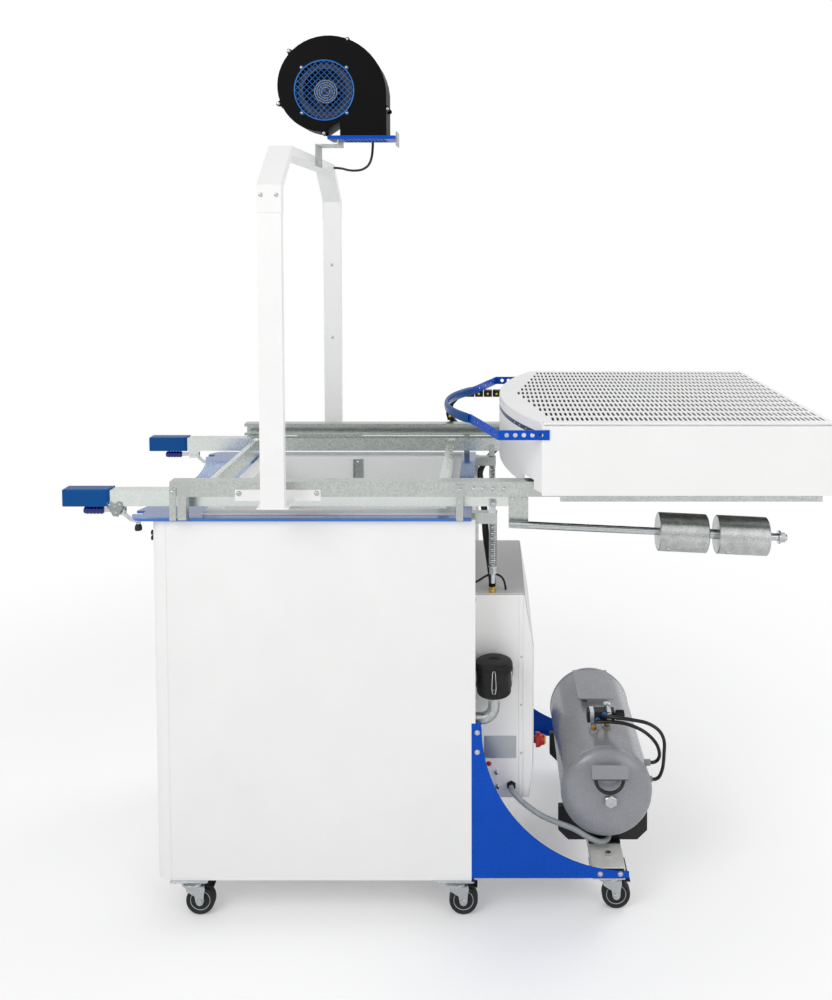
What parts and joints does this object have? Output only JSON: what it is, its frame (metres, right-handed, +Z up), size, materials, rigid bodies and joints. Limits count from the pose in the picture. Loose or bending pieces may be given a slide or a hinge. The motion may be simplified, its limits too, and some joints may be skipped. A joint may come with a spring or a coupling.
{
  "type": "sheet vacuum forming machine",
  "caption": "Floor-standing vacuum former: sliding heater hood on strut rails, counterweighted clamp frame, cooling fan on an arch, forming well, and a rear vacuum tank package on castors.",
  "frame": {"origin": "on the floor at the middle of the footprint", "axes": "+Z up, -Y towards the operator, +X to the operator's right"},
  "size_m": [1.04, 2.076, 2.5003],
  "materials": {
    "white_paint": "satin",
    "channel_paint": "satin",
    "blue_paint": "gloss",
    "dark_blue": "satin",
    "galvanised": "satin",
    "weight_steel": "satin",
    "blue_grip": "satin",
    "aluminium": "satin",
    "black_paint": "satin",
    "black_plastic": "matte",
    "black_rubber": "matte",
    "grey_rubber": "matte",
    "tank_grey": "satin",
    "brass": "satin",
    "red_plastic": "gloss",
    "quartz": "satin",
    "castor_steel": "satin",
    "castor_tyre": "matte"
  },
  "bodies": {
    "base": {"cabinet": "white_paint", "worktop": "blue_paint", "well_liner": "white_paint", "table_ram": "aluminium", "slide_rails": "galvanised", "rail_posts": "galvanised", "arch": "white_paint", "fasteners": "galvanised", "fan_bracket": "galvanised", "fan_casing": "black_paint", "fan_guards": "blue_paint", "fan_cable": "black_rubber", "control_box": "white_paint", "control_panel": "black_plastic", "gussets": "blue_paint", "cross_channel": "channel_paint", "tank": "tank_grey", "tank_saddle": "black_paint", "tank_fittings": "brass", "tank_hoses": "black_rubber", "vacuum_hose": "grey_rubber", "filter_can": "black_paint", "filter_pipe": "galvanised", "cable_loom": "black_rubber"},
    "hood": {"hood_body": "white_paint", "hood_lid": "white_paint", "hood_band": "dark_blue", "hood_carriage": "galvanised", "hood_handle": "blue_paint", "heater_tray": "galvanised", "heater_elements": "quartz"},
    "chain": {"energy_chain": "black_plastic"},
    "float": {"float_clevises": "galvanised", "float_springs": "galvanised"},
    "frame": {"clamp_frame": "galvanised", "grip_sleeves": "blue_grip", "counterweight_rods": "galvanised", "counterweights": "weight_steel"},
    "lever_right": {"toggle_lever_right": "blue_grip"},
    "lever_left": {"toggle_lever_left": "blue_grip"},
    "arm_right": {"toggle_arm_right": "galvanised"},
    "arm_left": {"toggle_arm_left": "galvanised"},
    "table": {"forming_table": "aluminium"},
    "impeller": {"fan_impeller": "black_paint"},
    "stop_button": {"emergency_stop": "red_plastic"},
    "button_upper": {"front_button_upper": "black_plastic"},
    "button_lower": {"front_button_lower": "black_plastic"},
    "knob": {"regulator_knob": "black_plastic"},
    "swivel_1": {"castor_fork_1": "castor_steel"},
    "wheel_1": {"castor_wheel_1": "castor_tyre"},
    "swivel_2": {"castor_fork_2": "castor_steel"},
    "wheel_2": {"castor_wheel_2": "castor_tyre"},
    "swivel_3": {"castor_fork_3": "castor_steel"},
    "wheel_3": {"castor_wheel_3": "castor_tyre"},
    "swivel_4": {"castor_fork_4": "castor_steel"},
    "wheel_4": {"castor_wheel_4": "castor_tyre"},
    "swivel_5": {"castor_fork_5": "castor_steel"},
    "wheel_5": {"castor_wheel_5": "castor_tyre"},
    "swivel_6": {"castor_fork_6": "castor_steel"},
    "wheel_6": {"castor_wheel_6": "castor_tyre"}
  },
  "joints": [
    {"name": "hood_slide", "type": "slide", "parent": "base", "child": "hood", "axis": [0, 1, 0], "range_m": [-0.93, 0]},
    {"name": "chain_slide", "type": "slide", "parent": "base", "child": "chain", "axis": [0, 1, 0], "range_m": [-0.465, 0]},
    {"name": "float_lift", "type": "slide", "parent": "base", "child": "float", "axis": [0, 0, 1], "range_m": [0, 0.012], "stiffness_N_per_m": 20000, "springref_m": -0.005, "deforming": ["float_springs"]},
    {"name": "frame_hinge", "type": "hinge", "parent": "float", "child": "frame", "pos_m": [0, 0.144, 1.163], "axis": [-1, 0, 0], "range_deg": [0, 45]},
    {"name": "toggle_lever_right", "type": "hinge", "parent": "frame", "child": "lever_right", "pos_m": [0.348, -0.896, 1.137], "axis": [1, 0, 0], "range_deg": [0, 60]},
    {"name": "toggle_arm_right", "type": "hinge", "parent": "frame", "child": "arm_right", "pos_m": [0.348, -0.88, 1.138], "axis": [1, 0, 0], "range_deg": [-45, 0]},
    {"name": "toggle_lever_left", "type": "hinge", "parent": "frame", "child": "lever_left", "pos_m": [-0.348, -0.896, 1.137], "axis": [1, 0, 0], "range_deg": [0, 60]},
    {"name": "toggle_arm_left", "type": "hinge", "parent": "frame", "child": "arm_left", "pos_m": [-0.348, -0.88, 1.138], "axis": [1, 0, 0], "range_deg": [-45, 0]},
    {"name": "table_lift", "type": "slide", "parent": "base", "child": "table", "axis": [0, 0, 1], "range_m": [0, 0.19]},
    {"name": "impeller_spin", "type": "hinge", "parent": "base", "child": "impeller", "pos_m": [0, -0.367, 2.336], "axis": [1, 0, 0], "continuous": true},
    {"name": "stop_push", "type": "slide", "parent": "base", "child": "stop_button", "axis": [0, -1, 0], "range_m": [0, 0.006], "stiffness_N_per_m": 800, "springref_m": -0.004},
    {"name": "button_upper_push", "type": "slide", "parent": "base", "child": "button_upper", "axis": [0, 1, 0], "range_m": [0, 0.004], "stiffness_N_per_m": 500, "springref_m": -0.003},
    {"name": "button_lower_push", "type": "slide", "parent": "base", "child": "button_lower", "axis": [0, 1, 0], "range_m": [0, 0.004], "stiffness_N_per_m": 500, "springref_m": -0.003},
    {"name": "knob_turn", "type": "hinge", "parent": "base", "child": "knob", "pos_m": [0.216, 0.517, 0.492], "axis": [0, 1, 0], "range_deg": [-135, 135]},
    {"name": "castor_swivel_1", "type": "hinge", "parent": "base", "child": "swivel_1", "pos_m": [0.365, -0.696, 0.1], "axis": [0, 0, 1], "continuous": true},
    {"name": "castor_roll_1", "type": "hinge", "parent": "swivel_1", "child": "wheel_1", "pos_m": [0.365, -0.674, 0.04], "axis": [1, 0, 0], "continuous": true},
    {"name": "castor_swivel_2", "type": "hinge", "parent": "base", "child": "swivel_2", "pos_m": [0.365, 0.04, 0.1], "axis": [0, 0, 1], "continuous": true},
    {"name": "castor_roll_2", "type": "hinge", "parent": "swivel_2", "child": "wheel_2", "pos_m": [0.365, 0.062, 0.04], "axis": [1, 0, 0], "continuous": true},
    {"name": "castor_swivel_3", "type": "hinge", "parent": "base", "child": "swivel_3", "pos_m": [0.34, 0.47, 0.1], "axis": [0, 0, 1], "continuous": true},
    {"name": "castor_roll_3", "type": "hinge", "parent": "swivel_3", "child": "wheel_3", "pos_m": [0.34, 0.492, 0.04], "axis": [1, 0, 0], "continuous": true},
    {"name": "castor_swivel_4", "type": "hinge", "parent": "base", "child": "swivel_4", "pos_m": [-0.365, -0.696, 0.1], "axis": [0, 0, 1], "continuous": true},
    {"name": "castor_roll_4", "type": "hinge", "parent": "swivel_4", "child": "wheel_4", "pos_m": [-0.365, -0.674, 0.04], "axis": [1, 0, 0], "continuous": true},
    {"name": "castor_swivel_5", "type": "hinge", "parent": "base", "child": "swivel_5", "pos_m": [-0.365, 0.04, 0.1], "axis": [0, 0, 1], "continuous": true},
    {"name": "castor_roll_5", "type": "hinge", "parent": "swivel_5", "child": "wheel_5", "pos_m": [-0.365, 0.062, 0.04], "axis": [1, 0, 0], "continuous": true},
    {"name": "castor_swivel_6", "type": "hinge", "parent": "base", "child": "swivel_6", "pos_m": [-0.34, 0.47, 0.1], "axis": [0, 0, 1], "continuous": true},
    {"name": "castor_roll_6", "type": "hinge", "parent": "swivel_6", "child": "wheel_6", "pos_m": [-0.34, 0.492, 0.04], "axis": [1, 0, 0], "continuous": true}
  ],
  "couplings": [
    {"joint": "chain_slide", "follows": "hood_slide", "ratio": 0.5},
    {"joint": "toggle_arm_right", "follows": "toggle_lever_right", "ratio": -0.75},
    {"joint": "toggle_arm_left", "follows": "toggle_lever_left", "ratio": -0.75}
  ]
}
